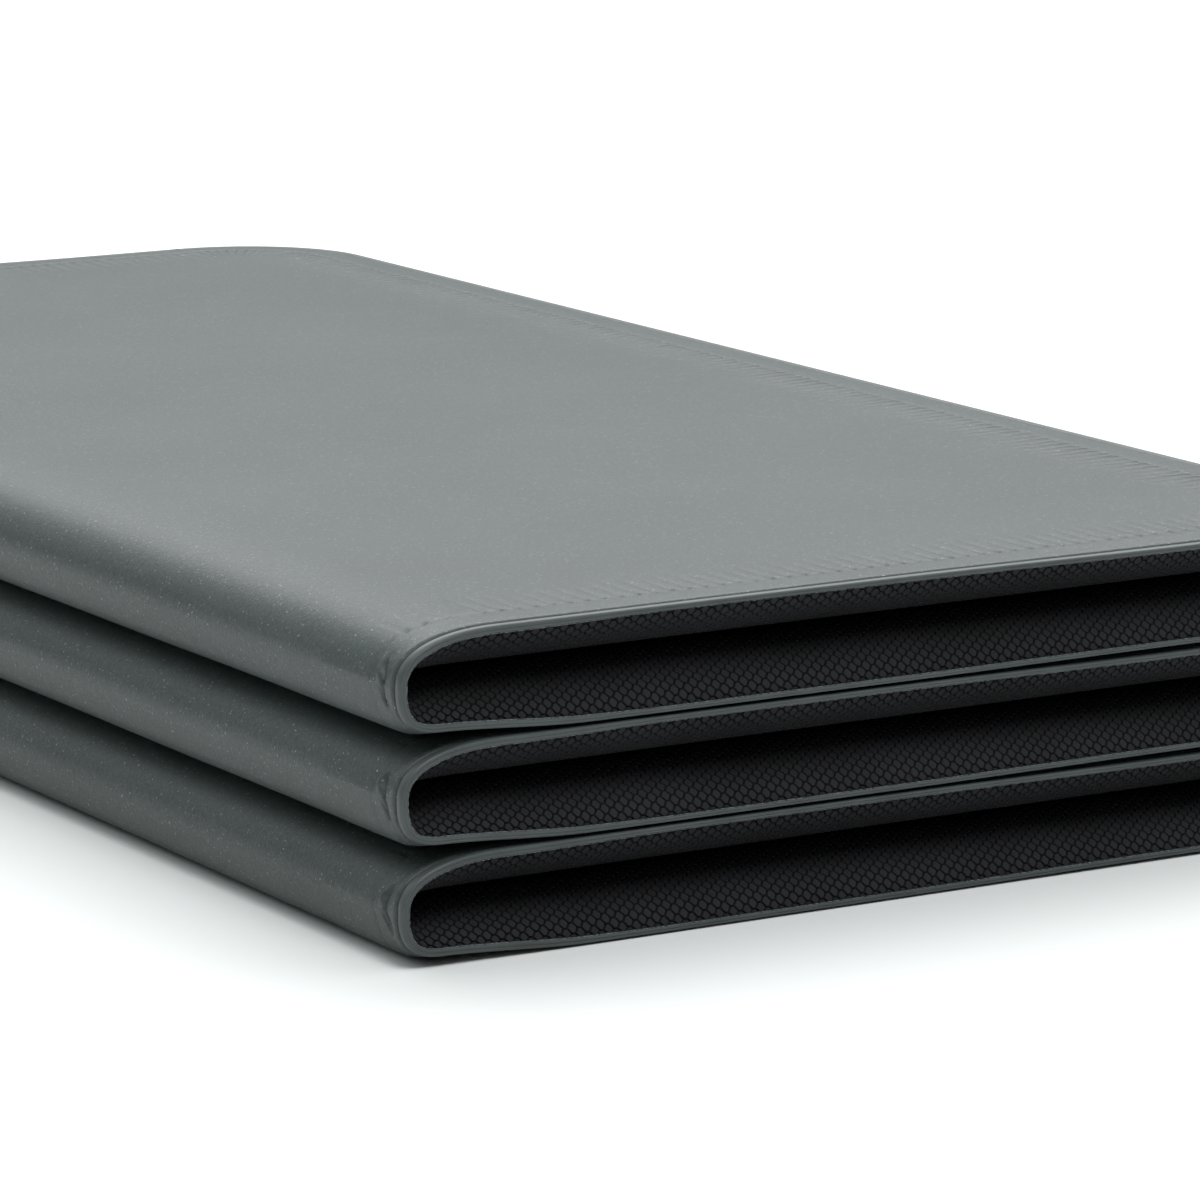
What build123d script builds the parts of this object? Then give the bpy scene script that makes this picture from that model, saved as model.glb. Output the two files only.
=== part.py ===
"""Six-leaf folding padded board, folded flat into a stack of three U-shaped layers.

Frame: millimetres, +Z up, origin at the middle of the underside. +Y runs along the folds,
+X runs from the left folds to the free ends. The near side is at -Y.
Leaves are numbered from the bottom. Each one has a smooth face and a grip face:
odd leaves lie smooth face down, even leaves lie smooth face up.
Leaves 1-2, 3-4 and 5-6 are joined at the left, leaves 2-3 and 4-5 at the right.
Leaf 1 and leaf 6 each have a free right end with rounded corners.
"""

import os

from build123d import *

# Overall sizes
leaf_count = 6
leaf_length = 290.0  # along X, from the left fold to the right end
leaf_width = 610.0  # along Y, the width of the opened board
leaf_thickness = 12.8

# Gaps between leaves in the folded stack
grip_gap = 0.4  # between two grip faces, inside a layer
layer_gap = 0.4  # between two smooth faces, from layer to layer

# Edge shapes
fold_depth = 20.0  # how far a fold's rounded wall reaches back into the leaf
roll_depth = 24.0  # how far a rolled side edge reaches in under the grip face
corner_radius = 45.0  # plan radius of the corners at a free end

# Skins and padding
skin_thickness = 1.0  # smooth cover
grip_thickness = 1.0  # grip skin
bead_width = 2.0  # moulded rim along each edge of the smooth cover
bead_height = 2.5
comfort_foam_height = 5.0  # foam between the smooth cover and the board

# Stiffener board inside each leaf
board_thickness = 2.0
board_edge_inset = 34.0  # from the leaf's edges to the board's edges
board_corner_radius = 12.0
board_pocket_clearance = 0.3

# Fold webs: flexible strips that join neighbouring leaves, as thick as the skin they carry on
web_half_height = 6.0  # how far a web reaches onto each leaf

# Margins that cutting tools run past the leaf
overshoot = 20.0

grip_level = leaf_thickness
layer_pitch = 2 * leaf_thickness + grip_gap + layer_gap
half_width = leaf_width / 2
board_bottom = skin_thickness + comfort_foam_height
left_fold_pairs = [(1, 2), (3, 4), (5, 6)]
right_fold_pairs = [(2, 3), (4, 5)]


def side_prism(outline, length):
    """Extrude an outline drawn in X and Z, evenly to both sides of Y = 0."""
    return extrude(Plane.XZ * outline, amount=length / 2, both=True)


def block(x_low, x_high, y_low, y_high, z_low, z_high):
    """A box from its six limits."""
    size = (x_high - x_low, y_high - y_low, z_high - z_low)
    centre = ((x_high + x_low) / 2, (y_high + y_low) / 2, (z_high + z_low) / 2)
    return Pos(*centre) * Box(*size)


def smooth_side(inset):
    """All of the space inside the smooth face and the fold wall, set in by inset."""
    far = leaf_length + overshoot
    top = grip_level + overshoot
    centre = (fold_depth, grip_level)
    wall = EllipticalCenterArc(centre, fold_depth - inset, grip_level - inset, 180, arc_size=90)
    outline = wall + Polyline(
        (fold_depth, inset), (far, inset), (far, top), (inset, top), (inset, grip_level)
    )
    return side_prism(make_face(outline), leaf_width + 2 * overshoot)


def roll_outline(edge, depth, inset, rim):
    """Half of a leaf's section under a rolled edge at distance edge from the middle line.

    The roll rises from the smooth face, rim inside the edge, to the grip face.
    """
    centre = edge - depth
    reach = depth - rim - inset
    roll = EllipticalCenterArc((centre, 0), reach, grip_level - inset, 0, arc_size=90)
    sides = Polyline((centre, grip_level - inset), (0, grip_level - inset), (0, 0), (centre + reach, 0))
    return make_face(roll + sides)


def grip_side_folded(inset):
    """The space under the grip face of a leaf whose right end is a fold."""
    return inside_right_fold(inset) & side_rolls(inset, 0, leaf_length)


def side_rolls(inset, x_low, x_high):
    """The space under the grip face between the two rolled side edges."""
    half = roll_outline(half_width, roll_depth, inset, bead_width)
    one_side = Pos(x_low, 0, 0) * extrude(Plane.YZ * half, amount=x_high - x_low)
    return one_side + mirror(one_side, about=Plane.XZ)


def grip_side_free(inset):
    """The space under the grip face of a leaf whose right end is free, with rolled corners."""
    corner_x = leaf_length - corner_radius
    corner_y = half_width - corner_radius
    body = side_rolls(inset, 0, corner_x)
    end_outline = roll_outline(leaf_length, roll_depth, inset, bead_width)
    end = side_prism(end_outline, 2 * corner_y)
    body += end & block(corner_x, leaf_length, -corner_y, corner_y, 0, grip_level)
    corner_outline = roll_outline(corner_radius, roll_depth, inset, bead_width)
    corner = revolve(Plane.XZ * corner_outline, Axis.Z, 90)
    for angle, y in ((-90, -corner_y), (0, corner_y)):
        body += Pos(corner_x, y, 0) * Rot(0, 0, angle) * corner
    return body


def plan_prism(inset, is_free):
    """The leaf's plan outline, set in by inset, as a tall prism."""
    right = leaf_length - (inset if is_free else grip_thickness)
    half = half_width - inset
    prism = block(-overshoot, right, -half, half, 0, grip_level)
    if is_free:
        prism = fillet(
            [edge for edge in prism.edges().filter_by(Axis.Z) if edge.center().X > 0],
            corner_radius - inset,
        )
    return prism


def inside_right_fold(inset):
    """All of the space inside the wall of a right fold, set in by inset."""
    return side_prism(roll_outline(leaf_length, fold_depth, inset, 0), leaf_width)


def cover_space(is_free):
    """The space that the smooth cover and its rim may fill, clear of the fold webs."""
    wall_top = grip_level - web_half_height
    space = block(0, fold_depth, -half_width, half_width, 0, wall_top)
    space += block(fold_depth, leaf_length, -half_width, half_width, 0, bead_height)
    if not is_free:
        space &= inside_right_fold(grip_thickness)
    return space


def make_leaf(is_free):
    """All the pieces of one leaf, smooth face down on Z = 0, fold wall at X = 0."""
    grip_side = grip_side_free if is_free else grip_side_folded
    inner = smooth_side(skin_thickness) & grip_side(grip_thickness)
    skin_space = (smooth_side(0) - smooth_side(skin_thickness)) & cover_space(is_free)
    bead_space = (smooth_side(0) - smooth_side(bead_height)) & cover_space(is_free)

    pieces = {}
    pieces["smooth_cover"] = skin_space & plan_prism(bead_width, is_free)

    rim = bead_space & (plan_prism(0, is_free) - plan_prism(bead_width, is_free))
    rim_end = leaf_length - corner_radius if is_free else leaf_length
    near = block(-overshoot, rim_end, -half_width, 0, 0, grip_level)
    pieces["near_bead"] = rim & near
    pieces["far_bead"] = rim & mirror(near, about=Plane.XZ)
    if is_free:
        pieces["end_bead"] = rim & block(rim_end, leaf_length, -half_width, half_width, 0, grip_level)

    grip = smooth_side(skin_thickness) & grip_side(0)
    grip -= grip_side(grip_thickness)
    if not is_free:
        right = leaf_length - fold_depth
        grip -= block(right, leaf_length, -half_width, half_width, 0, web_half_height)
    pieces["grip_skin"] = grip

    board, pocket = stiffener()
    pieces["stiffener_board"] = board
    lower = block(0, leaf_length, -half_width, half_width, 0, board_bottom)
    upper = block(0, leaf_length, -half_width, half_width, board_bottom, grip_level)
    pieces["comfort_foam"] = inner & lower
    pieces["backing_foam"] = (inner & upper) - pocket
    return pieces


def stiffener():
    """The thin board that keeps a leaf flat, and the pocket it lies in."""
    length = leaf_length - 2 * board_edge_inset
    width = leaf_width - 2 * board_edge_inset
    centre = Pos(leaf_length / 2, 0, board_bottom)
    board = centre * extrude(RectangleRounded(length, width, board_corner_radius), board_thickness)
    grow = board_pocket_clearance
    pocket_outline = RectangleRounded(length + 2 * grow, width + 2 * grow, board_corner_radius + grow)
    pocket = centre * extrude(pocket_outline, board_thickness)
    return board, pocket


def leaf_base(number):
    """Height of the lower face of a leaf in the folded stack."""
    layer = (number - 1) // 2
    is_upper = number % 2 == 0
    return layer * layer_pitch + (leaf_thickness + grip_gap if is_upper else 0)


def place_leaf(piece, number):
    """Move a leaf's piece to its place in the folded stack."""
    if number % 2 == 0:
        piece = Pos(0, 0, leaf_thickness) * mirror(piece, about=Plane.XY)
    return Pos(-leaf_length / 2, 0, leaf_base(number)) * piece


def left_web(lower):
    """The strip round the outside of a left fold, from leaf lower to the leaf above it."""
    wall = smooth_side(0) - smooth_side(skin_thickness)
    slab = block(-overshoot, fold_depth, -half_width, half_width, grip_level - web_half_height, grip_level)
    half = wall & slab
    bridge = block(0, skin_thickness, -half_width, half_width, grip_level, grip_level + grip_gap)
    upper = Pos(0, 0, 2 * grip_level + grip_gap) * mirror(half, about=Plane.XY)
    web = half + bridge + upper
    return Pos(-leaf_length / 2, 0, leaf_base(lower)) * web


def right_web(lower):
    """The strip round the outside of a right fold, from leaf lower to the leaf above it."""
    wall = inside_right_fold(0) - inside_right_fold(grip_thickness)
    right = leaf_length - fold_depth
    half = wall & block(right, leaf_length, -half_width, half_width, 0, web_half_height)
    bridge = block(leaf_length - grip_thickness, leaf_length, -half_width, half_width, -layer_gap, 0)
    below = Pos(0, 0, -layer_gap) * mirror(half, about=Plane.XY)
    web = half + bridge + below
    return Pos(-leaf_length / 2, 0, leaf_base(lower + 1)) * web


def write_parts():
    """Build every sub-part and write one STEP file for each."""
    os.makedirs("parts", exist_ok=True)
    free_leaf = make_leaf(is_free=True)
    folded_leaf = make_leaf(is_free=False)
    for number in range(1, leaf_count + 1):
        leaf = free_leaf if number in (1, leaf_count) else folded_leaf
        for name, piece in leaf.items():
            export_step(place_leaf(piece, number), f"parts/leaf_{number}_{name}.step")
    for lower, upper in left_fold_pairs:
        export_step(left_web(lower), f"parts/fold_web_{lower}_{upper}.step")
    for lower, upper in right_fold_pairs:
        export_step(right_web(lower), f"parts/fold_web_{lower}_{upper}.step")


write_parts()
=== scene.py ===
"""Looks of the six-leaf folding padded board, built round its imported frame.

Lengths are metres. A layer is a lower leaf and the upper leaf that folds over it at the left.
In a layer, q is the height above the plane where its two leaves meet. Along an edge,
d is the distance in from the edge, and n is the height over the smooth surface.
"""

import math

import bmesh
import bpy
import numpy as np
from mathutils import Matrix, Vector


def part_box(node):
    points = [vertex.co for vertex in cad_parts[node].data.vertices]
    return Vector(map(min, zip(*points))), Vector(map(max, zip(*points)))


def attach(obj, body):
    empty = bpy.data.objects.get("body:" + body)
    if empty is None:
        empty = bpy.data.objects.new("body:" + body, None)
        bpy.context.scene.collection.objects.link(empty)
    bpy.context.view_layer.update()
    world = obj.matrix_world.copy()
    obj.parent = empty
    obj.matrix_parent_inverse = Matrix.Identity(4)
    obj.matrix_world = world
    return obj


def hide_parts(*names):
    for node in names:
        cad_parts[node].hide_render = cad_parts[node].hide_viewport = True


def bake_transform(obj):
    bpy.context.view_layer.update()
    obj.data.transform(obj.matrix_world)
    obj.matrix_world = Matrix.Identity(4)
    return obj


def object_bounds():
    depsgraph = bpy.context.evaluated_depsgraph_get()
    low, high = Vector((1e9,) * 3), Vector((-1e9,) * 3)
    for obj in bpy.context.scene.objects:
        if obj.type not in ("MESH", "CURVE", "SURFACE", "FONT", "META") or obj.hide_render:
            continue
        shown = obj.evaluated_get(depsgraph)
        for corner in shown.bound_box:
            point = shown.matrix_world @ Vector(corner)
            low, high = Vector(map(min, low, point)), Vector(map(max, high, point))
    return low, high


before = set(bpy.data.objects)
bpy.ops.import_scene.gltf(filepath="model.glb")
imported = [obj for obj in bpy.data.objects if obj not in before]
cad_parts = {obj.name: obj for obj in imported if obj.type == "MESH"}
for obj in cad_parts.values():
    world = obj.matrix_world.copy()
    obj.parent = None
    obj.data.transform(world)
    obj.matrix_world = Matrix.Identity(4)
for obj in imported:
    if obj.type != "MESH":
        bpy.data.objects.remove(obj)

mm = 0.001
weld_distance = 1e-6
random = np.random.default_rng(7)
cad_low, cad_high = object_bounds()

# Sizes read from the frame
layer_leaves = [(1, 2), (3, 4), (5, 6)]
right_folds = [(2, 3), (4, 5)]
leaf_count = 2 * len(layer_leaves)
free_leaves = (1, leaf_count)
left, right, half_width = cad_low.x, cad_high.x, cad_high.y


def grip_level(leaf):
    """Height of a leaf's grip face."""
    low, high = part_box(f"leaf_{leaf}_grip_skin")
    return high.z if leaf % 2 else low.z


def layer_middle(layer):
    """Height of the plane where the two leaves of a layer meet."""
    lower, upper = layer_leaves[layer]
    return (grip_level(lower) + grip_level(upper)) / 2


def leaf_side(leaf):
    """A leaf's layer, the side of the layer that it is on, and whether its right end is free."""
    return (leaf - 1) // 2, (1 if leaf % 2 == 0 else -1), leaf in free_leaves


middles = [layer_middle(layer) for layer in range(len(layer_leaves))]
outer = middles[0] - cad_low.z  # from that plane to a smooth face
half_gap = middles[0] - grip_level(1)
leaf_thickness = outer - half_gap

# Fold walls at the left
shoulder_reach = 28 * mm  # how far the fold wall's upper half reaches back
heel_reach = 11 * mm  # the same for its lower half
wall_crease = 4.2 * mm
wall_power = 2.4  # 2 would make each half of the fold wall an ellipse; more is squarer
heel_rise = 2.0 * mm  # how far the lower side is drawn up beside the rim at a left fold
heel_start, heel_run = 8 * mm, 42 * mm  # where from the fold that fades, and over how far
heel_width = 12 * mm  # how far in from the edge it reaches

# Smooth cover
corner_radius = 45 * mm
strip_depth = corner_radius  # the strip along each edge that follows the rounded corners
cover_right = right - 1 * mm  # a folded leaf's cover stops at the grip skin of its right fold
fold_clearance = 0.05 * mm  # from the cover to the fold plane
sag_lengths = (62 * mm, 83 * mm, 110 * mm)
sag_height = 0.16 * mm
sag_start, sag_run = 14 * mm, 20 * mm  # in from the edge
lower_lean, upper_lean = 0.3 * mm, 0.5 * mm
lean_start, lean_run = 130 * mm, 90 * mm  # in from the left fold
lean_width = 14 * mm

# Puckers along the welded line
pucker_pitch = 4.6 * mm
pitch_shares = np.array([0.0, 0.19, 0.38, 0.5, 0.62])  # columns in one pitch
pitch_columns = len(pitch_shares)
pucker_column = 3  # the one at half the pitch
pucker_strengths = (0.8, 1.4)
wall_pucker_strength = 0.8
wall_pucker_start = 9 * mm  # in from the left fold
end_rows = 28
puckers_per_end_row = 4
wall_columns = {-1: 5 * pitch_columns, 1: 7 * pitch_columns}

# Creases beside the rim on each fold wall
crease_start, crease_reach = 3 * mm, 6 * mm
pinch_place = 8.6 * mm  # in from the edge
pinch_spread = 0.55 * mm  # from one fold end to the next
pinch_wander, pinch_wavelength = 0.7 * mm, 1.6 * mm
pinch_slope = 0.10
pinch_half_height = 5.0 * mm
valley_depth, valley_width = 1.2 * mm, 0.6 * mm
swell_height, swell_width, swell_offset = 1.0 * mm, 1.0 * mm, 1.8 * mm
branch_depth, branch_width = 0.9 * mm, 0.6 * mm
branch_start, branch_slope = 9.8 * mm, 0.55
branch_top, branch_middle, branch_reach = 2.0 * mm, 3.4 * mm, 2.2 * mm  # below the ridge

# Rim
rim_depth = 2.2 * mm
rim_thinning = 0.28  # share of its height that the rim loses away from the left fold
thinning_start, thinning_run = 30 * mm, 45 * mm

# Grip skin
cell_across, cell_along = 3.8 * mm, 2.8 * mm  # the lattice repeats by these in X and Y
cell_relief = 0.6 * mm
pad_share = np.array([0.72, 0.80])  # of the cell, across and along
lip = 2.1 * mm
roll_depth = 28 * mm
roll_reach = 27.3 * mm
fold_depth = 20 * mm
pad_radius, groove_radius = 1.05 * mm, 1.35 * mm  # the same cells as relief in the material
grip_band = 4 * mm  # how far the moulded cells reach onto the flat of a leaf
grip_overlap = 0.3 * mm  # of the cells over the ribbed flat
flat_lift = 0.02 * mm
grip_fold_gap = 0.3 * mm
grip_wall_gap = 0.2 * mm

# Padding
padding_inset = 1.7 * mm
padding_levels = 15
side_gap, wall_gap = 1 * mm, 2.5 * mm  # more room at the rolled sides and at the fold wall
free_rounding = corner_radius - 6 * mm
folded_rounding = 10 * mm
left_rounding = 4 * mm
corner_points = 10


def smoothstep(x):
    x = np.clip(x, 0, 1)
    return x * x * (3 - 2 * x)


class Shell:
    """Collects points and faces, then makes one mesh object."""

    def __init__(self):
        self.points, self.faces, self.shades, self.count = [], [], [], 0

    def add(self, points):
        points = np.asarray(points, float)
        ids = np.arange(self.count, self.count + points[..., 0].size).reshape(points.shape[:-1])
        self.points.append(points.reshape(-1, 3))
        self.count += ids.size
        return ids

    def face(self, ids, shade=0):
        ids = [int(i) for i in ids]
        ids = [a for a, b in zip(ids, ids[1:] + ids[:1]) if a != b]
        if len(ids) > 2:
            self.faces.append(ids)
            self.shades.append(shade)

    def quads(self, ids, shade=0, closed=False):
        """Faces between the rows of a grid of point numbers."""
        if closed:
            ids = np.concatenate([ids, ids[:, :1]], axis=1)
        corners = np.stack([ids[:-1, :-1], ids[:-1, 1:], ids[1:, 1:], ids[1:, :-1]], -1).reshape(-1, 4)
        self.faces.extend(corners.tolist())
        self.shades.extend([shade] * len(corners))

    def bar(self, rings, shade=0):
        """A closed bar through rings of points."""
        ids = self.add(np.array(rings))
        self.quads(ids, shade, closed=True)
        for ring in (ids[0], ids[-1]):
            self.face(ring, shade)

    def stitch(self, coarse, fine, marks):
        """Faces between a coarse line and a fine one, whose points marks lie beside the coarse points."""
        for k in range(len(marks) - 1):
            span = list(fine[marks[k] : marks[k + 1] + 1])
            self.face([coarse[k]] + span + [coarse[k + 1]])

    def weld(self):
        """One point for all that lie together, and the faces that are left with three corners or more."""
        points = np.concatenate(self.points)
        keys = np.floor(points / weld_distance + 0.237).astype(np.int64)
        _, first, where = np.unique(keys, axis=0, return_index=True, return_inverse=True)
        where = where.reshape(-1)
        faces, shades = [], []
        for face, shade in zip(self.faces, self.shades):
            ids = where[face].tolist()
            ids = [a for a, b in zip(ids, ids[1:] + ids[:1]) if a != b]
            if len(ids) > 2 and len(set(ids)) == len(ids):
                faces.append(ids)
                shades.append(shade)
        used = np.unique(np.concatenate([np.array(face) for face in faces]))
        renumber = np.zeros(len(first), int)
        renumber[used] = np.arange(len(used))
        return points[first[used]], [renumber[face].tolist() for face in faces], shades

    def make(self, name, materials, smooth=True):
        points, faces, shades = self.weld()
        mesh = bpy.data.meshes.new(name)
        mesh.from_pydata(points, [], faces)
        for material in materials:
            mesh.materials.append(material)
        mesh.polygons.foreach_set("material_index", shades)
        work = bmesh.new()
        work.from_mesh(mesh)
        bmesh.ops.recalc_face_normals(work, faces=work.faces)
        work.to_mesh(mesh)
        work.free()
        mesh.polygons.foreach_set("use_smooth", [smooth] * len(mesh.polygons))
        piece = bpy.data.objects.new(name, mesh)
        bpy.context.scene.collection.objects.link(piece)
        return piece


# ---------------------------------------------------------------- edge paths


def stations(edge, inward, normal, bend, pucker):
    """Places along an edge: where it is, which way is in, which way is out of the surface."""
    count = len(edge)
    spread = [np.broadcast_to(np.asarray(a, float), (count, 3)) for a in (inward, normal)]
    bend = np.broadcast_to(np.asarray(bend, float), (count,))
    return {"edge": edge, "inward": spread[0], "normal": spread[1], "bend": bend, "pucker": pucker}


def shares_along(length, pitch, pitches=None):
    """Even pitches along a run, each with a column on its pucker: shares of the run, pucker marks."""
    pitches = pitches or max(1, round(length / pitch))
    shares = (np.arange(pitches)[:, None] + pitch_shares).reshape(-1) / pitches
    marks = np.tile(np.arange(pitch_columns) == pucker_column, pitches).astype(float)
    return np.append(shares, 1.0), np.append(marks, 0.0)


def height(layer, sign):
    return middles[layer] + sign * outer


def flat_run(layer, sign, side, x_from, x_to):
    """A straight side edge of the lower side (sign -1) or the upper side (sign 1) of a layer."""
    shares, marks = shares_along(abs(x_to - x_from), pucker_pitch)
    x = x_from + (x_to - x_from) * shares
    edge = np.stack([x, np.full(len(x), side * half_width), np.full(len(x), height(layer, sign))], -1)
    return stations(edge, (0, -side, 0), (0, 0, sign), 0, marks)


def wall_section(turn, reach):
    """Half of the fold wall's outline: places in from the left and up, and the way out of the surface."""
    across, up = np.cos(turn) ** (2 / wall_power), np.sin(turn) ** (2 / wall_power)
    normal = np.stack([-across ** (wall_power - 1) / reach, up ** (wall_power - 1) / outer], -1)
    normal /= np.linalg.norm(normal, axis=1)[:, None]
    return left + reach * (1 - across), outer * up, normal


def wall_run(layer, sign, side, rising):
    """Half of the fold wall, from the flat to the ridge or back."""
    reach = shoulder_reach if sign > 0 else heel_reach
    turn = np.linspace(0, math.pi / 2, wall_columns[sign] + 1)
    turn = turn if rising else turn[::-1]
    x, q, out = wall_section(np.clip(turn, 1e-6, math.pi / 2 - 1e-6), reach)
    x, q = np.where(turn == turn.max(), left + reach, x), np.where(turn == 0, 0, q)
    normal = np.stack([out[:, 0], 0 * x, sign * out[:, 1]], -1)
    edge = np.stack([x, np.full(len(x), side * half_width), middles[layer] + sign * q], -1)
    bend = (q / outer) * (1 - q / outer)
    has_pucker = (np.arange(len(x)) % pitch_columns == 0) & (sign > 0)
    has_pucker &= (x > left + wall_pucker_start) & (x < left + reach)
    return stations(edge, (0, -side, 0), normal, bend, has_pucker * wall_pucker_strength)


def corner_run(layer, sign, side, rising):
    """A free corner, from the side to the end or back."""
    shares, marks = shares_along(corner_radius * math.pi / 2, pucker_pitch)
    turn = shares * math.pi / 2
    turn = turn if rising else math.pi / 2 - turn
    out = np.stack([np.sin(turn), side * np.cos(turn), 0 * turn], -1)
    centre = np.array([right - corner_radius, side * (half_width - corner_radius), height(layer, sign)])
    return stations(centre + corner_radius * out, -out, (0, 0, sign), 0, marks)


def end_run(layer, sign):
    """The straight edge of a free end, from the near corner to the far one."""
    reach = half_width - corner_radius
    shares, marks = shares_along(0, 1, end_rows * puckers_per_end_row)
    y = -reach + 2 * reach * shares
    edge = np.stack([np.full(len(y), right), y, np.full(len(y), height(layer, sign))], -1)
    return stations(edge, (-1, 0, 0), (0, 0, sign), 0, marks)


def chain(runs, layer):
    """One path from runs that meet end to end, with the place of each join and each wall."""
    path = {key: runs[0][0][key] for key in runs[0][0]}
    kinds, joins = [runs[0][1]] * len(path["edge"]), [0, len(path["edge"]) - 1]
    for run, kind in runs[1:]:
        for key in path:
            path[key] = np.concatenate([path[key], run[key][1:]])
        if kind == "wall":
            kinds[-1] = "wall"
        kinds += [kind] * (len(run["edge"]) - 1)
        joins.append(len(path["edge"]) - 1)
    path["wall"] = np.array(kinds) == "wall"
    path["joins"] = joins
    path["middle"] = middles[layer]
    path["pucker"] = path["pucker"] * random.uniform(*pucker_strengths, len(kinds))
    return path


def side_runs(layer, side, lower_end, upper_end):
    """The runs of a side edge, from the lower side's right end round the fold to the upper side's."""
    return [
        (flat_run(layer, -1, side, lower_end, left + heel_reach), "flat"),
        (wall_run(layer, -1, side, rising=False), "wall"),
        (wall_run(layer, 1, side, rising=True), "wall"),
        (flat_run(layer, 1, side, left + shoulder_reach, upper_end), "flat"),
    ]


def layer_runs(layer):
    """The runs of the near edge, of the far edge, and of the free end or None."""
    free_x = right - corner_radius
    ends = [free_x if leaf in free_leaves else cover_right for leaf in layer_leaves[layer]]
    end = None
    for leaf, sign in zip(layer_leaves[layer], (-1, 1)):
        if leaf in free_leaves:
            end = [
                (corner_run(layer, sign, -1, rising=True), "flat"),
                (end_run(layer, sign), "flat"),
                (corner_run(layer, sign, 1, rising=False), "flat"),
            ]
    return side_runs(layer, -1, *ends), side_runs(layer, 1, *ends), end


# ---------------------------------------------------------------- smooth cover

# Distances in from the edge, in mm until they are scaled
coarse_rows = np.array(
    [3.2, 3.35, 3.7, 4.5, 5, 7, 9, 11, 13, 13.6, 14.2, 14.8, 15.6, 17.5, 20, 24, 28, 33, 38]
) * mm
fine_rows = np.unique(np.round(np.concatenate([coarse_rows, np.arange(5, 13, 0.35) * mm]), 6))
row_marks = [int(np.argmin(abs(fine_rows - row))) for row in coarse_rows]

# Height over the smooth surface, and how deep a pucker is, at distances in from the edge
edge_profile = np.array(
    [[3.2, -1.0], [3.35, -0.5], [3.7, -0.13], [4.5, -0.02], [13, -0.06], [14.2, -0.2], [15.6, 0], [45, 0]]
) * mm
pucker_profile = np.array(
    [[13, 0], [13.6, 0.15], [14.2, 0.85], [14.8, 0.52], [15.6, 0.40], [20, 0.25], [28, 0.11], [33, 0]]
) * mm


def sag(layer, x, y):
    """A few smooth waves laid over each other, the same for a layer at each run."""
    turns = np.random.default_rng(3 + layer)
    total = 0
    for length in sag_lengths:
        angle, phase = turns.uniform(0, math.pi), turns.uniform(0, 2 * math.pi)
        total = total + np.sin(2 * math.pi * (x * math.cos(angle) + y * math.sin(angle)) / length + phase)
    return sag_height * total / len(sag_lengths)


def edge_lean(x, d, sign):
    """How far the outer strip of a leaf leans towards the other leaf, away from the left fold."""
    most = upper_lean if sign > 0 else lower_lean
    return -most * smoothstep((x - left - lean_start) / lean_run) * (1 - smoothstep(d / lean_width))


def near_fold(x):
    """One beside a left fold, fading to nothing away from it."""
    return 1 - smoothstep((x - left - heel_start) / heel_run)


def heel_lift(x, q, d):
    """How far the lower side is drawn up at a place near the rim."""
    low_share = min(max(-q / outer, 0), 1) ** 2
    return heel_rise * low_share * near_fold(x) * (1 - smoothstep(d / heel_width))


def rim_share(x):
    """The rim's height as a share of its height at a left fold."""
    return 1 - rim_thinning * smoothstep((x - left - thinning_start) / thinning_run)


def bell(x, middle, width):
    return np.exp(-(((x - middle) / width) ** 2))


def pinch(q, d, seed):
    """Small creases beside the rim, across the ridge of the fold wall."""
    phase = np.random.default_rng(seed).uniform(0, 2 * math.pi)
    wander = pinch_wander * np.sin(q / pinch_wavelength + phase)
    middle = pinch_place + pinch_spread * math.sin(seed) + pinch_slope * q + wander
    valley = -valley_depth * bell(d, middle, valley_width)
    swell = swell_height * bell(d, middle + swell_offset, swell_width) * (q > 0)
    branch_line = branch_start + branch_slope * (q + branch_top)
    branch = -branch_depth * bell(d, branch_line, branch_width) * bell(q, -branch_middle, branch_reach)
    return (valley + swell) * np.exp(-((q / pinch_half_height) ** 4)) + branch


def faces_up_or_down(normal):
    return abs(normal[2]) > 0.999


def cover_points(layer, path, index, rows):
    """Points of the cover beside station index, at each row's distance from the edge.

    They stay inside the fold plane, because an opened layer can stand beside this one.
    """
    edge, inward, normal = (path[key][index] for key in ("edge", "inward", "normal"))
    n = np.interp(rows, *edge_profile.T)
    n = n - np.interp(rows, *pucker_profile.T) * path["pucker"][index]
    q = edge[2] - middles[layer]
    if path["wall"][index]:
        side_seed = 11 + 2 * layer + int(edge[1] > 0)
        n = n + pinch(q, rows, side_seed)
    points = edge + inward * rows[:, None]
    waves = sag(layer, points[:, 0], points[:, 1])
    n = n + waves * normal[2] ** 2 * smoothstep((rows - sag_start) / sag_run)
    if faces_up_or_down(normal):
        n = n + edge_lean(edge[0], rows, normal[2])
    points[:, 0] += wall_crease * path["bend"][index] * smoothstep((rows - crease_start) / crease_reach)
    points[:, 2] += heel_lift(edge[0], q, rows)
    points += normal * n[:, None]
    points[:, 0] = np.maximum(points[:, 0], left + fold_clearance)
    return points


def cover_strip(shell, layer, path):
    """The strip along one path, as faces, and the numbers of its innermost points."""
    ids = []
    for index in range(len(path["edge"])):
        rows = fine_rows if path["wall"][index] else coarse_rows
        ids.append(shell.add(cover_points(layer, path, index, rows)))
    for a, b in zip(ids, ids[1:]):
        if len(a) == len(b):
            shell.quads(np.stack([a, b]))
        elif len(a) < len(b):
            shell.stitch(a, b, row_marks)
        else:
            shell.stitch(b, a, row_marks)
    return np.array([line[-1] for line in ids])


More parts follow.
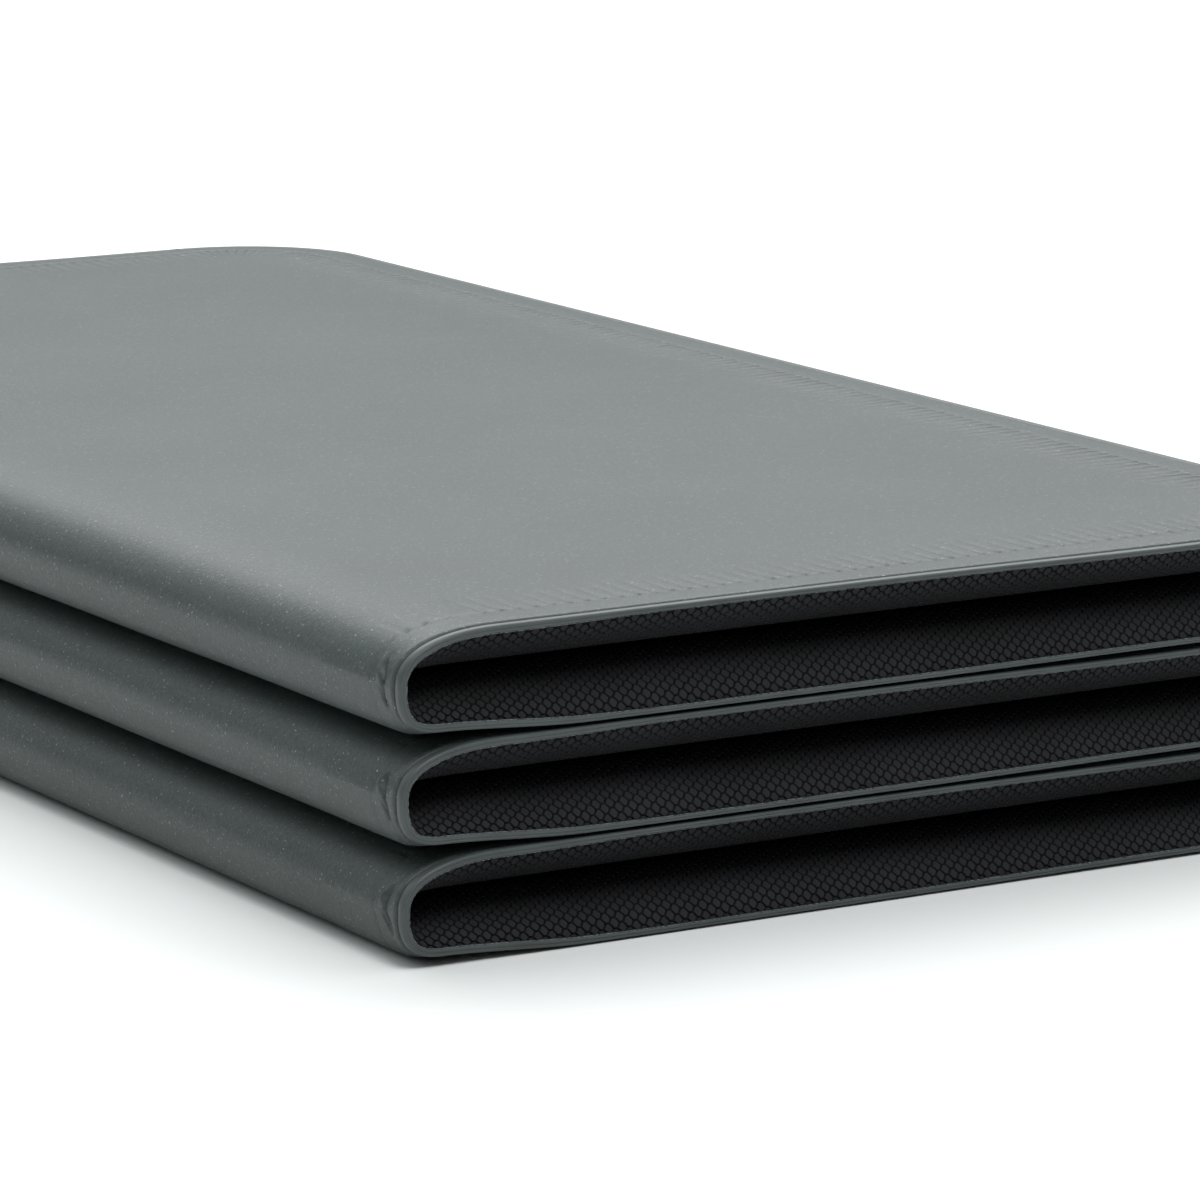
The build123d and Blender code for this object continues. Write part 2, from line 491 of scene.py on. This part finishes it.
def middle_columns(layer, near, marks):
    """Points across the broad middle of the cover, one column for each marked station."""
    lines = np.linspace(-(half_width - strip_depth), half_width - strip_depth, end_rows + 1)
    columns = []
    for mark in marks:
        points = cover_points(layer, near, mark, np.full_like(lines, strip_depth))
        points[:, 1] = lines
        normal = near["normal"][mark]
        change = sag(layer, points[:, 0], lines) - sag(layer, points[:, 0], lines[0])
        points += normal * (change * normal[2] ** 2)[:, None]
        columns.append(points)
    return np.array(columns)


def join_end(shell, end, end_inner, column):
    """Faces between the broad middle's last column and the strip round the free end."""
    first_join, last_join = end["joins"][1:3]
    near_corner = range(0, first_join, pitch_columns)
    straight = range(first_join, last_join, pitch_columns * puckers_per_end_row)
    far_corner = range(last_join, len(end_inner), pitch_columns)
    coarse = [column[0]] * len(near_corner) + list(column) + [column[-1]] * (len(far_corner) - 1)
    shell.stitch(coarse, end_inner, [*near_corner, *straight, *far_corner])


def make_cover(layer, material):
    """The smooth cover of a layer. Returns the paths of its near edge, far edge and free end."""
    lower, upper = layer_leaves[layer]
    near_runs, far_runs, end_runs = layer_runs(layer)
    near, far = chain(near_runs, layer), chain(far_runs, layer)
    shell = Shell()
    near_inner = cover_strip(shell, layer, near)
    far_inner = cover_strip(shell, layer, far)
    marks = list(range(0, len(near["edge"]), pitch_columns))
    grid = shell.add(middle_columns(layer, near, marks))
    shell.quads(grid)
    shell.stitch(grid[:, 0], near_inner, marks)
    shell.stitch(grid[:, -1], far_inner, marks)
    if end_runs:
        end = chain(end_runs, layer)
        end_inner = cover_strip(shell, layer, end)
        join_end(shell, end, end_inner, grid[0] if lower in free_leaves else grid[-1])
    piece = shell.make(f"layer_{layer + 1}_cover", [material])
    nodes = [f"leaf_{leaf}_smooth_cover" for leaf in (lower, upper)]
    finish_folding(piece, nodes + [f"fold_web_{lower}_{upper}"])
    return near, far, chain(end_runs, layer) if end_runs else None


def blend_at(piece):
    """Bakes a piece's transform into its mesh."""
    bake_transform(piece)


def finish_folding(piece, nodes):
    """Hides the frame's parts that a piece going round a left fold stands for, and bakes the piece's
    transform into its mesh.
    """
    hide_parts(*nodes)
    blend_at(piece)


# ---------------------------------------------------------------- rims

# Sections across the rim and across the ragged line where the grip skin is trimmed against it:
# distance in from the edge, and height over the smooth surface
rim_section = np.array([
    [2.95, -1.3], [2.9, -0.75], [2.7, -0.42], [2.3, -0.28], [1.5, -0.2], [0.8, -0.24], [0.35, -0.4],
    [0.08, -0.75], [0.1, -1.05], [0.3, -1.2], [0.1, -1.36], [0.06, -1.8], [0.3, -2.1], [0.9, -2.22],
    [2.2, -2.2], [2.8, -1.9],
]) * mm
trim_section = np.array([[0.35, -2.05], [0.24, -2.2], [0.9, -2.3]]) * mm
trim_stray = np.array([-0.06, -0.09]) * mm  # the most that the section's middle point strays


def section_points(path, index, section):
    """A section's points at station index of a path."""
    edge, inward, normal = (path[key][index] for key in ("edge", "inward", "normal"))
    n = section[:, 1] * rim_share(edge[0])
    if faces_up_or_down(normal):
        n = n + edge_lean(edge[0], section[:, 0], normal[2])
    points = edge + inward * section[:, :1] + normal * n[:, None]
    points[:, 2] += heel_lift(edge[0], edge[2] - path["middle"], section[:, 0])
    return points


def make_rim(name, path, materials):
    """The moulded rim along a path, with its ragged trim line."""
    shell = Shell()
    count = len(path["edge"])
    picks = [i for i in range(count) if path["wall"][i] or i % pitch_columns in (0, pucker_column)]
    shell.bar([section_points(path, i, rim_section) for i in picks], shade=0)
    stray = np.random.default_rng(len(picks)).uniform(0, 1, (count, 2)) * trim_stray
    sections = np.repeat(trim_section[None], count, axis=0)
    sections[:, 1] += stray
    shell.bar([section_points(path, i, sections[i]) for i in range(count)], shade=1)
    return shell.make(name, materials)


def make_rims(layer, paths, materials):
    lower, upper = layer_leaves[layer]
    for side, path in zip(("near", "far"), paths[:2]):
        rim = make_rim(f"layer_{layer + 1}_{side}_rim", path, materials)
        finish_folding(rim, [f"leaf_{leaf}_{side}_bead" for leaf in (lower, upper)])
    if paths[2]:
        leaf = lower if lower in free_leaves else upper
        rim = make_rim(f"leaf_{leaf}_end_rim", paths[2], materials)
        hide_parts(f"leaf_{leaf}_end_bead")
        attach(rim, f"leaf_{leaf}")


# ---------------------------------------------------------------- grip skin

def arc_lengths(turns, reach):
    """Length along a leaf's rounded edge, from its grip face on, at each turn."""
    steps = np.hypot(np.diff(reach * np.sin(turns)), np.diff(leaf_thickness * (1 - np.cos(turns))))
    return np.concatenate([[0], np.cumsum(steps)])


roll_rise = leaf_thickness - lip
roll_turn = np.linspace(0, math.acos(1 - roll_rise / leaf_thickness), 200)
roll_length = arc_lengths(roll_turn, roll_reach)
wall_turn = np.linspace(0, math.pi / 2, 200)
fold_length = arc_lengths(wall_turn, fold_depth)


def inner_wall(sign):
    """The inside of the fold wall at a rim: places x, rising, and how high the skin may stand there."""
    reach = shoulder_reach if sign > 0 else heel_reach
    x, q, normal = wall_section(np.clip(wall_turn, 1e-6, math.pi / 2 - 1e-6), reach)
    x = x - rim_depth * normal[:, 0]
    q = q - rim_depth * normal[:, 1]
    return x, np.maximum(q - half_gap, 0)


def grip_point(layer, sign, free, x, y, h):
    """A point of a leaf's grip skin, from its place on the skin laid out flat and its height over it."""
    flat_x, flat_y = right - roll_depth, half_width - roll_depth
    side = np.sign(y)
    out = np.stack([0 * x, side, 0 * x], -1)
    e = abs(y) - flat_y
    if free:
        corner_x, corner_y = right - corner_radius, half_width - corner_radius
        rel = np.stack([x - corner_x, abs(y) - corner_y], -1)
        radius = np.maximum(np.linalg.norm(rel, axis=-1), 1e-9)
        in_corner = (rel[..., 0] > 0) & (rel[..., 1] > 0)
        at_end = (rel[..., 0] > 0) & ~in_corner
        e = np.where(in_corner, radius - (corner_radius - roll_depth), np.where(at_end, x - flat_x, e))
        corner_out = np.stack([rel[..., 0] / radius, side * rel[..., 1] / radius, 0 * x], -1)
        out = np.where(in_corner[..., None], corner_out, out)
        out = np.where(at_end[..., None], np.array([1.0, 0, 0]), out)
    base = np.stack([x, y, 0 * x], -1) - out * e[..., None]
    e = np.clip(e, -grip_band, roll_length[-1])
    turn = np.interp(e, roll_length, roll_turn)
    turn = np.where(e > 0, turn, 0)
    across = np.where(e > 0, roll_reach * np.sin(turn), e)
    wall_x, room = inner_wall(sign)
    scale = np.interp(base[..., 0], wall_x, room) / roll_rise
    scale = np.clip(scale, 0, 1) * (leaf_thickness - lip * rim_share(base[..., 0])) / roll_rise
    if sign < 0:
        scale = scale * (1 - heel_rise / roll_rise * near_fold(base[..., 0]))
    drop = leaf_thickness * (1 - np.cos(turn)) * scale
    tilt = np.stack([np.sin(turn) * leaf_thickness, np.cos(turn) * roll_reach], -1)
    tilt /= np.linalg.norm(tilt, axis=-1)[..., None]
    points = base + out * across[..., None]
    points += out * (tilt[..., 0] * h)[..., None]
    points[..., 2] = middles[layer] + sign * (half_gap + drop - h * tilt[..., 1])
    if not free:
        limit = right - fold_depth * (1 - np.sin(turn)) - grip_fold_gap
        points[..., 0] = np.minimum(points[..., 0], limit)
    points[..., 0] = np.maximum(points[..., 0], wall_x[0] + grip_wall_gap)
    return points


def fold_point(plane, x, y, h):
    """A point of the grip skin round a right fold. x is the run round the fold from its middle."""
    turn = np.interp(fold_length[-1] - abs(x), fold_length, wall_turn)
    sign = np.sign(x)
    tilt = np.stack([np.sin(turn) * leaf_thickness, np.cos(turn) * fold_depth], -1)
    tilt /= np.linalg.norm(tilt, axis=-1)[..., None]
    rise = leaf_thickness * np.cos(turn) + half_gap
    z = plane + sign * (rise + h * tilt[..., 1])
    px = right - fold_depth * (1 - np.sin(turn)) + h * tilt[..., 0]
    limit = half_width - roll_depth + roll_reach * np.sin(turn)
    return np.stack([px, np.clip(y, -limit, limit), z], -1)


def cell_layout(x_low, x_high, y_low, y_high):
    """Centres of the moulded cells in a rectangle of the laid-out skin, on one lattice for all."""
    row_pitch = cell_along / 2
    centres = []
    for row in range(math.floor(y_low / row_pitch), math.ceil(y_high / row_pitch) + 1):
        shift = (row % 2) / 2
        first = math.floor(x_low / cell_across - shift)
        last = math.ceil(x_high / cell_across - shift)
        centres += [((k + shift) * cell_across, row * row_pitch) for k in range(first, last + 1)]
    return np.array(centres)


# The six corners where three cells of the lattice meet
corner_near = (cell_across ** 2 - cell_along ** 2) / (4 * cell_across)
corner_far = (cell_across ** 2 + cell_along ** 2) / (4 * cell_across)
cell_ring = np.array([
    [corner_far, 0], [corner_near, cell_along / 2], [-corner_near, cell_along / 2],
    [-corner_far, 0], [-corner_near, -cell_along / 2], [corner_near, -cell_along / 2],
])


def add_cells(shell, centres, place):
    """Raised pads with a groove between them. place maps laid-out points and heights to the surface."""
    rings = []
    for share, level in ((pad_share, 0), (1, -cell_relief)):
        flat = centres[:, None, :] + cell_ring[None] * share
        rings.append(shell.add(place(flat[..., 0], flat[..., 1], np.full(flat.shape[:2], level))))
    pads, grooves = rings
    shell.faces.extend(pads.tolist())
    corners = len(cell_ring)
    for k in range(corners):
        m = (k + 1) % corners
        shell.faces.extend(np.stack([pads[:, k], grooves[:, k], grooves[:, m], pads[:, m]], -1).tolist())
    shell.shades.extend([0] * (corners + 1) * len(centres))


def edge_cells(free):
    """Centres of the cells that cover a leaf's rolled edges and a band of its flat."""
    flat_x, flat_y = right - roll_depth, half_width - roll_depth
    reach = roll_length[-1]
    centres = cell_layout(left, flat_x + reach if free else right, -flat_y - reach, flat_y + reach)
    inside = abs(centres[:, 1]) < flat_y - grip_band - cell_across
    if free:
        inside &= centres[:, 0] < flat_x - grip_band - cell_across
    keep = ~inside
    if free:
        from_corner = centres[:, 0] - (right - corner_radius)
        over = abs(centres[:, 1]) - (half_width - corner_radius)
        radius = np.hypot(from_corner, over)
        in_corner = (from_corner > 0) & (over > 0)
        flat_radius = corner_radius - roll_depth
        in_band = radius <= flat_radius + reach + cell_across
        in_band &= radius >= flat_radius - grip_band - cell_across
        keep &= ~in_corner | in_band
    return centres[keep]


def make_grip(leaf, material):
    """The moulded cells of a leaf's grip skin."""
    layer, sign, free = leaf_side(leaf)
    shell = Shell()
    add_cells(shell, edge_cells(free), lambda x, y, h: grip_point(layer, sign, free, x, y, h))
    piece = shell.make(f"leaf_{leaf}_grip_skin_rolls", [material], smooth=False)
    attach(piece, f"leaf_{leaf}")
    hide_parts(f"leaf_{leaf}_grip_skin")


def make_grip_flat(leaf, material):
    """The flat of a leaf's grip skin, between its rolled edges."""
    layer, sign, free = leaf_side(leaf)
    x_low = inner_wall(sign)[0][0] + 2 * grip_wall_gap
    x_top = right - roll_depth - grip_band + grip_overlap if free else right - fold_depth
    y_top = half_width - roll_depth - grip_band + grip_overlap
    x, y = np.meshgrid(np.linspace(x_low, x_top, 12), np.linspace(-y_top, y_top, 24), indexing="ij")
    z = middles[layer] + sign * (half_gap + flat_lift)
    shell = Shell()
    shell.quads(shell.add(np.stack([x, y, np.full_like(x, z)], -1)))
    face = shell.make(f"leaf_{leaf}_grip_flat", [material])
    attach(face, f"leaf_{leaf}")


def make_fold_wall(lower, upper, material):
    """The grip skin round a right fold, between the leaf below and the leaf above."""
    plane = (middles[(lower - 1) // 2] + middles[(upper - 1) // 2]) / 2
    reach = fold_length[-1]
    centres = cell_layout(-reach + cell_across / 2, reach - cell_across / 2, -half_width, half_width)
    shell = Shell()
    add_cells(shell, centres, lambda x, y, h: fold_point(plane, np.clip(x, -reach, reach), y, h))
    piece = shell.make(f"fold_{lower}_{upper}_grip_wall", [material], smooth=False)
    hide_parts(f"fold_web_{lower}_{upper}")
    blend_at(piece)


# ---------------------------------------------------------------- padding


def padding_ring(leaf, level):
    """The padding's outline at a height over the plane where the leaves meet."""
    layer, sign, free = leaf_side(leaf)
    reach = shoulder_reach if sign > 0 else heel_reach
    depth = min(1, (leaf_thickness - (level - half_gap)) / leaf_thickness)
    shrink = math.sqrt(1 - depth ** 2)
    from_side = roll_depth - roll_reach * shrink + padding_inset + side_gap
    from_left = reach * (1 - math.sqrt(max(0, 1 - (level / outer) ** 2))) + padding_inset + wall_gap
    from_right = from_side if free else fold_depth * (1 - shrink) + 2 * padding_inset
    x_low, x_high, y_high = left + from_left, right - from_right, half_width - from_side
    rounding = free_rounding if free else folded_rounding
    corners = [
        (x_high, y_high, 0, rounding), (x_low, y_high, 90, left_rounding),
        (x_low, -y_high, 180, left_rounding), (x_high, -y_high, 270, rounding),
    ]
    ring = []
    for corner_x, corner_y, start, radius in corners:
        centre_x = corner_x - math.copysign(radius, corner_x)
        centre_y = corner_y - math.copysign(radius, corner_y)
        for angle in np.radians(np.linspace(start, start + 90, corner_points)):
            x, y = centre_x + radius * math.cos(angle), centre_y + radius * math.sin(angle)
            ring.append((x, y, middles[layer] + sign * level))
    return ring


def make_padding(leaf, material):
    """The foam inside a leaf, a crowned closed form a little smaller than its skins."""
    levels = [
        half_gap + padding_inset + share * (leaf_thickness - 2 * padding_inset)
        for share in np.linspace(0, 1, padding_levels)
    ]
    shell = Shell()
    shell.bar([padding_ring(leaf, level) for level in levels])
    piece = shell.make(f"leaf_{leaf}_padding", [material])
    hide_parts(f"leaf_{leaf}_comfort_foam", f"leaf_{leaf}_backing_foam")
    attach(piece, f"leaf_{leaf}")


# ---------------------------------------------------------------- materials


class Material:
    """A procedural material: a Principled shader and short calls that add nodes to it."""

    def __init__(self, name, roughness=0.5, specular=0.5):
        self.material = bpy.data.materials.new(name)
        self.material.use_nodes = True
        self.tree = self.material.node_tree
        self.shader = self.tree.nodes["Principled BSDF"]
        self.shader.inputs["Roughness"].default_value = roughness
        self.shader.inputs["Specular IOR Level"].default_value = specular
        self.place = self.node("ShaderNodeTexCoord").outputs["Object"]

    def node(self, kind, **values):
        made = self.tree.nodes.new(kind)
        for key, value in values.items():
            setattr(made, key, value)
        return made

    def link(self, out, into):
        self.tree.links.new(out, into)

    def noise(self, scale, detail=2.0, roughness=0.5):
        made = self.node("ShaderNodeTexNoise")
        self.link(self.place, made.inputs["Vector"])
        made.inputs["Scale"].default_value = scale
        made.inputs["Detail"].default_value = detail
        made.inputs["Roughness"].default_value = roughness
        return made.outputs["Fac"]

    def ramp(self, value, low, high, low_colour, high_colour):
        made = self.node("ShaderNodeMapRange", data_type="FLOAT")
        self.link(value, made.inputs["Value"])
        made.inputs["From Min"].default_value, made.inputs["From Max"].default_value = low, high
        mix = self.node("ShaderNodeMix", data_type="RGBA")
        self.link(made.outputs["Result"], mix.inputs["Factor"])
        mix.inputs[6].default_value = (*low_colour, 1)
        mix.inputs[7].default_value = (*high_colour, 1)
        return mix.outputs[2]

    def mixed(self, blend_type, first, second):
        mix = self.node("ShaderNodeMix", data_type="RGBA", blend_type=blend_type)
        mix.inputs["Factor"].default_value = 1.0
        self.link(first, mix.inputs[6])
        self.link(second, mix.inputs[7])
        return mix.outputs[2]

    def value(self, source, low, high, to_low, to_high):
        made = self.node("ShaderNodeMapRange", data_type="FLOAT")
        self.link(source, made.inputs["Value"])
        for key, number in zip(("From Min", "From Max", "To Min", "To Max"), (low, high, to_low, to_high)):
            made.inputs[key].default_value = number
        return made.outputs["Result"]

    def maths(self, operation, a, b=0.0):
        made = self.node("ShaderNodeMath", operation=operation)
        for socket, source in zip(made.inputs, (a, b)):
            if isinstance(source, (int, float)):
                socket.default_value = source
            else:
                self.link(source, socket)
        return made.outputs[0]

    def bump(self, source, distance, strength=1.0):
        made = self.node("ShaderNodeBump")
        made.inputs["Distance"].default_value = distance
        made.inputs["Strength"].default_value = strength
        self.link(source, made.inputs["Height"])
        before = self.shader.inputs["Normal"]
        if before.is_linked:
            self.link(before.links[0].from_socket, made.inputs["Normal"])
        self.link(made.outputs["Normal"], before)

    def colour(self, source):
        self.link(source, self.shader.inputs["Base Color"])


def cover_material():
    """Satin grey-green skin with a fine grain, faint clouding, and tiny bright specks that are painted
    glints in the base colour.
    """
    skin = Material("satin_skin", specular=0.35)
    clouds = skin.noise(14, detail=4, roughness=0.6)
    base = skin.ramp(clouds, 0.3, 0.7, (0.044, 0.056, 0.053), (0.055, 0.069, 0.066))
    grain = skin.noise(900, detail=5, roughness=0.75)
    shade = skin.ramp(grain, 0.3, 0.7, (0.62, 0.62, 0.62), (1.38, 1.38, 1.38))
    base = skin.mixed("MULTIPLY", base, shade)
    # Painted glints: bright specks added to the base colour, where the roughness is also lower.
    specks = skin.noise(1300, detail=1)
    painted_glint = skin.ramp(specks, 0.70, 0.78, (0, 0, 0), (0.30, 0.33, 0.33))
    skin.colour(skin.mixed("ADD", base, painted_glint))
    skin.link(skin.value(specks, 0.66, 0.78, 0.42, 0.25), skin.shader.inputs["Roughness"])
    skin.bump(grain, 0.16 * mm, 0.8)
    skin.bump(skin.noise(420, detail=3), 0.06 * mm, 0.4)
    skin.bump(skin.noise(60, detail=2), 0.15 * mm, 0.25)
    return skin.material


def rim_material():
    rim = Material("rim_skin", roughness=0.42, specular=0.4)
    rim.colour(rim.ramp(rim.noise(90, detail=3), 0.3, 0.7, (0.052, 0.063, 0.061), (0.070, 0.083, 0.081)))
    rim.bump(rim.noise(1500, detail=3), 0.04 * mm, 0.5)
    return rim.material


def trim_material():
    trim = Material("trimmed_edge", roughness=0.6, specular=0.3)
    mottle = trim.noise(1300, detail=2)
    trim.colour(trim.ramp(mottle, 0.35, 0.65, (0.035, 0.042, 0.042), (0.20, 0.22, 0.22)))
    trim.bump(trim.noise(2500, detail=2), 0.08 * mm, 0.8)
    return trim.material


def rubber(name):
    grip = Material(name, roughness=0.65, specular=0.2)
    grip.colour(grip.ramp(grip.noise(35, detail=4), 0.3, 0.7, (0.011, 0.011, 0.012), (0.016, 0.016, 0.018)))
    grip.bump(grip.noise(1800, detail=3), 0.03 * mm, 0.5)
    return grip


def grip_material():
    return rubber("grip_rubber").material


def grip_flat_material():
    """The same rubber, with the cells of the lattice as relief in the surface."""
    grip = rubber("grip_rubber_flat")
    parts = grip.node("ShaderNodeSeparateXYZ")
    grip.link(grip.place, parts.inputs[0])
    nearest = None
    for shift in (0.0, 0.5):
        squares = []
        for axis, pitch in (("X", cell_across), ("Y", cell_along)):
            turns = grip.maths("ADD", grip.maths("DIVIDE", parts.outputs[axis], pitch), shift + 0.5)
            share = grip.maths("SUBTRACT", grip.maths("FLOORED_MODULO", turns, 1.0), 0.5)
            offset = grip.maths("MULTIPLY", share, pitch)
            squares.append(grip.maths("MULTIPLY", offset, offset))
        distance = grip.maths("SQRT", grip.maths("ADD", *squares))
        nearest = distance if nearest is None else grip.maths("MINIMUM", nearest, distance)
    grip.bump(grip.value(nearest, pad_radius, groove_radius, 1.0, 0.0), cell_relief)
    return grip.material


def foam_material():
    foam = Material("padding_foam", roughness=0.95, specular=0.1)
    foam.colour(foam.ramp(foam.noise(900, detail=3), 0.3, 0.7, (0.16, 0.16, 0.16), (0.26, 0.26, 0.26)))
    foam.bump(foam.noise(1400, detail=4), 0.2 * mm, 0.8)
    return foam.material


def board_material():
    board = Material("board_plastic", roughness=0.5)
    board.colour(board.ramp(board.noise(30, detail=5), 0.3, 0.7, (0.05, 0.05, 0.055), (0.08, 0.08, 0.085)))
    board.bump(board.noise(700, detail=3), 0.05 * mm, 0.6)
    return board.material


def floor_material():
    floor = Material("pale_floor", roughness=0.85, specular=0.1)
    floor.colour(floor.ramp(floor.noise(3, detail=3), 0.3, 0.7, (0.90, 0.90, 0.90), (0.93, 0.93, 0.925)))
    return floor.material


# ---------------------------------------------------------------- stage, light and camera


floor_reach = 6.0
floor_gap = 0.3 * mm  # under the object
lit_side = (0.52, 0.74, 0.42)
side_ramp = (-0.70, 0.40, 0.05, 0.95)  # from the dark side to the light side of the studio
height_ramp = (0.06, 0.40, 0.04, 1.0)  # from the horizon up
studio_colour = (0.93, 1.0, 0.995, 1)
lens, sensor = 188.7, 36.0
camera_place = (-0.8072, -1.5413, 0.3611)
camera_heading, camera_drop, camera_roll = (math.radians(a) for a in (-30.05, 11.07, -0.36))


def make_stage():
    floor = Shell()
    line = np.linspace(-floor_reach, floor_reach, 9)
    x, y = np.meshgrid(line, line, indexing="ij")
    floor.quads(floor.add(np.stack([x, y, np.full_like(x, cad_low.z - floor_gap)], -1)))
    floor.make("floor", [floor_material()])


def add_area(name, place, target, side, power):
    """A square area light."""
    light = bpy.data.lights.new(name, "AREA")
    light.shape = "RECTANGLE"
    light.size = light.size_y = side
    light.energy = power
    lamp = bpy.data.objects.new(name, light)
    lamp.location = place
    lamp.rotation_euler = (Vector(target) - Vector(place)).to_track_quat("-Z", "Y").to_euler()
    bpy.context.scene.collection.objects.link(lamp)


def make_world():
    """A white studio, dark along the horizon and on the side that the fold walls face."""
    world = bpy.data.worlds.new("studio")
    bpy.context.scene.world = world
    world.use_nodes = True
    tree = world.node_tree
    background = tree.nodes["Background"]
    place = tree.nodes.new("ShaderNodeTexCoord")
    along = tree.nodes.new("ShaderNodeVectorMath")
    along.operation = "DOT_PRODUCT"
    along.inputs[1].default_value = lit_side
    tree.links.new(place.outputs["Generated"], along.inputs[0])
    parts = tree.nodes.new("ShaderNodeSeparateXYZ")
    tree.links.new(place.outputs["Generated"], parts.inputs[0])
    ramps = []
    for source, numbers in ((along.outputs["Value"], side_ramp), (parts.outputs["Z"], height_ramp)):
        ramp = tree.nodes.new("ShaderNodeMapRange")
        ramp.interpolation_type = "SMOOTHSTEP"
        tree.links.new(source, ramp.inputs["Value"])
        for key, number in zip(("From Min", "From Max", "To Min", "To Max"), numbers):
            ramp.inputs[key].default_value = number
        ramps.append(ramp.outputs["Result"])
    strength = tree.nodes.new("ShaderNodeMath")
    strength.operation = "MULTIPLY"
    for ramp, socket in zip(ramps, strength.inputs):
        tree.links.new(ramp, socket)
    tree.links.new(strength.outputs[0], background.inputs["Strength"])
    background.inputs["Color"].default_value = studio_colour


def make_camera():
    """The view along the near side, from low over the left front corner."""
    data = bpy.data.cameras.new("camera")
    data.sensor_width, data.lens = sensor, lens
    data.clip_start, data.clip_end = 0.05, 100
    camera = bpy.data.objects.new("camera", data)
    turn = Matrix.Rotation(camera_heading, 4, "Z")
    tilt = Matrix.Rotation(math.pi / 2 - camera_drop, 4, "X")
    roll = Matrix.Rotation(camera_roll, 4, "Z")
    camera.matrix_world = Matrix.Translation(camera_place) @ turn @ tilt @ roll
    bpy.context.scene.collection.objects.link(camera)
    bpy.context.scene.camera = camera


# ---------------------------------------------------------------- assembly

skin = cover_material()
rim_materials = [rim_material(), trim_material()]
grip_rubber, flat_rubber = grip_material(), grip_flat_material()
foam, board = foam_material(), board_material()

for layer in range(len(layer_leaves)):
    make_rims(layer, make_cover(layer, skin), rim_materials)
for leaf in range(1, leaf_count + 1):
    make_grip(leaf, grip_rubber)
    make_grip_flat(leaf, flat_rubber)
    make_padding(leaf, foam)
    board_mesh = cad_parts[f"leaf_{leaf}_stiffener_board"].data
    board_mesh.materials.clear()
    board_mesh.materials.append(board)
for lower, upper in right_folds:
    make_fold_wall(lower, upper, grip_rubber)

make_stage()
make_world()
add_area("overhead", place=(0.9, 1.4, 2.0), target=(0, 0, 0), side=2.6, power=50)
add_area("front", place=(-0.3, -1.5, 2.0), target=(0, -0.3, 0.04), side=0.9, power=24)
make_camera()
bpy.context.scene.view_settings.view_transform = "Standard"
